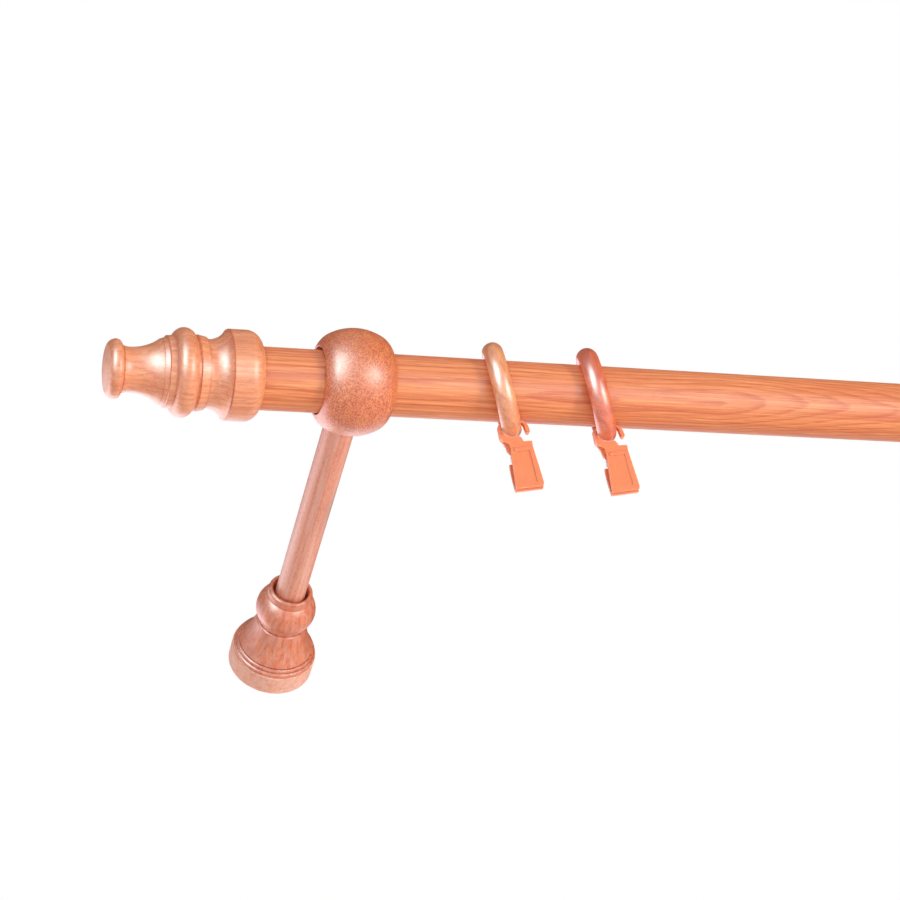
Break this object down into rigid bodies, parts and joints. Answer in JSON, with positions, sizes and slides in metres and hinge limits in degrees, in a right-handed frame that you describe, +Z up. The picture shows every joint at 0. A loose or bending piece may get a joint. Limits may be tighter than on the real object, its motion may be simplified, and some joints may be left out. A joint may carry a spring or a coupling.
{
  "type": "curtain rod with brackets",
  "caption": "Turned wooden curtain rod on long wall brackets, with finials and sliding rings that carry sprung clips.",
  "frame": {"origin": "centre of the left bracket's wall face, on the axis of its arm", "axes": "+X along the pole from the left bracket to the right one, +Y from the room into the wall, +Z up"},
  "size_m": [1.3038, 0.212, 0.0687],
  "materials": {
    "pole_wood": "satin lacquer, grain along the pole",
    "stained_wood": "stained and lacquered, satin",
    "pale_wood": "lightly stained, matt lacquer",
    "ring_wood_light": "stained and lacquered, satin",
    "ring_wood_red": "stained and lacquered, satin",
    "clip_plastic": "moulded, semi-gloss",
    "bright_steel": "bright drawn wire",
    "brass_screw": "brass-coated screw"
  },
  "bodies": {
    "rod_and_brackets": {"pole": "pole_wood", "left_bracket_ball": "stained_wood", "left_bracket_arm": "pale_wood", "left_wall_disc": "pale_wood", "left_arm_screw": "brass_screw", "left_pole_lock_screw": "brass_screw", "right_bracket_ball": "stained_wood", "right_bracket_arm": "pale_wood", "right_wall_disc": "pale_wood", "right_arm_screw": "brass_screw", "right_pole_lock_screw": "brass_screw"},
    "left_rosette_body": {"left_rosette": "stained_wood"},
    "left_finial_body": {"left_finial": "stained_wood"},
    "right_rosette_body": {"right_rosette": "stained_wood"},
    "right_finial_body": {"right_finial": "stained_wood"},
    "left_ring_1_body": {"left_ring_1": "ring_wood_light"},
    "left_clip_1_body": {"left_clip_body_1": "clip_plastic", "left_clip_pin_1": "bright_steel", "left_clip_spring_1": "bright_steel"},
    "left_jaw_1_body": {"left_clip_jaw_1": "clip_plastic"},
    "left_ring_2_body": {"left_ring_2": "ring_wood_red"},
    "left_clip_2_body": {"left_clip_body_2": "clip_plastic", "left_clip_pin_2": "bright_steel", "left_clip_spring_2": "bright_steel"},
    "left_jaw_2_body": {"left_clip_jaw_2": "clip_plastic"},
    "right_ring_1_body": {"right_ring_1": "ring_wood_light"},
    "right_clip_1_body": {"right_clip_body_1": "clip_plastic", "right_clip_pin_1": "bright_steel", "right_clip_spring_1": "bright_steel"},
    "right_jaw_1_body": {"right_clip_jaw_1": "clip_plastic"},
    "right_ring_2_body": {"right_ring_2": "ring_wood_red"},
    "right_clip_2_body": {"right_clip_body_2": "clip_plastic", "right_clip_pin_2": "bright_steel", "right_clip_spring_2": "bright_steel"},
    "right_jaw_2_body": {"right_clip_jaw_2": "clip_plastic"}
  },
  "joints": [
    {"name": "left_finial_pull", "type": "slide", "parent": "rod_and_brackets", "child": "left_finial_body", "axis": [-1, 0, 0], "range_m": [0, 0.018]},
    {"name": "left_rosette_slide", "type": "slide", "parent": "rod_and_brackets", "child": "left_rosette_body", "axis": [0, -1, 0], "range_m": [0, 0.105]},
    {"name": "right_finial_pull", "type": "slide", "parent": "rod_and_brackets", "child": "right_finial_body", "axis": [1, 0, 0], "range_m": [0, 0.018]},
    {"name": "right_rosette_slide", "type": "slide", "parent": "rod_and_brackets", "child": "right_rosette_body", "axis": [0, -1, 0], "range_m": [0, 0.105]},
    {"name": "left_ring_1_slide", "type": "slide", "parent": "rod_and_brackets", "child": "left_ring_1_body", "axis": [1, 0, 0], "range_m": [-0.038, 0.01]},
    {"name": "left_clip_1_swing", "type": "hinge", "parent": "left_ring_1_body", "child": "left_clip_1_body", "pos_m": [0.07, -0.188, -0.0005], "axis": [-0.917, 0.3987, 0.014], "range_deg": [-5, 43]},
    {"name": "left_clip_1_jaw", "type": "hinge", "parent": "left_clip_1_body", "child": "left_jaw_1_body", "pos_m": [0.07734, -0.17297, -0.02846], "axis": [0.9819, -0.1847, 0.0418], "range_deg": [0, 20], "stiffness_Nm_per_rad": 0.02, "springref_deg": -17.19},
    {"name": "left_ring_2_slide", "type": "slide", "parent": "rod_and_brackets", "child": "left_ring_2_body", "axis": [1, 0, 0], "range_m": [-0.01, 0.38]},
    {"name": "left_clip_2_swing", "type": "hinge", "parent": "left_ring_2_body", "child": "left_clip_2_body", "pos_m": [0.116, -0.188, -0.0004], "axis": [-0.9135, 0.4067, 0.014], "range_deg": [-5, 43]},
    {"name": "left_clip_2_jaw", "type": "hinge", "parent": "left_clip_2_body", "child": "left_jaw_2_body", "pos_m": [0.12348, -0.17303, -0.02836], "axis": [0.9802, -0.1933, 0.0418], "range_deg": [0, 20], "stiffness_Nm_per_rad": 0.02, "springref_deg": -17.19},
    {"name": "right_ring_1_slide", "type": "slide", "parent": "rod_and_brackets", "child": "right_ring_1_body", "axis": [1, 0, 0], "range_m": [-0.01, 0.038]},
    {"name": "right_clip_1_swing", "type": "hinge", "parent": "right_ring_1_body", "child": "right_clip_1_body", "pos_m": [1.012, -0.188, -0.0005], "axis": [-0.917, -0.3987, -0.014], "range_deg": [-5, 43]},
    {"name": "right_clip_1_jaw", "type": "hinge", "parent": "right_clip_1_body", "child": "right_jaw_1_body", "pos_m": [1.00937, -0.17208, -0.02866], "axis": [0.9819, 0.1847, -0.0418], "range_deg": [0, 20], "stiffness_Nm_per_rad": 0.02, "springref_deg": -17.19},
    {"name": "right_ring_2_slide", "type": "slide", "parent": "rod_and_brackets", "child": "right_ring_2_body", "axis": [1, 0, 0], "range_m": [-0.38, 0.01]},
    {"name": "right_clip_2_swing", "type": "hinge", "parent": "right_ring_2_body", "child": "right_clip_2_body", "pos_m": [0.966, -0.188, -0.0004], "axis": [-0.9135, -0.4067, -0.014], "range_deg": [-5, 43]},
    {"name": "right_clip_2_jaw", "type": "hinge", "parent": "right_clip_2_body", "child": "right_jaw_2_body", "pos_m": [0.96323, -0.1721, -0.02856], "axis": [0.9802, 0.1933, -0.0418], "range_deg": [0, 20], "stiffness_Nm_per_rad": 0.02, "springref_deg": -17.19}
  ]
}
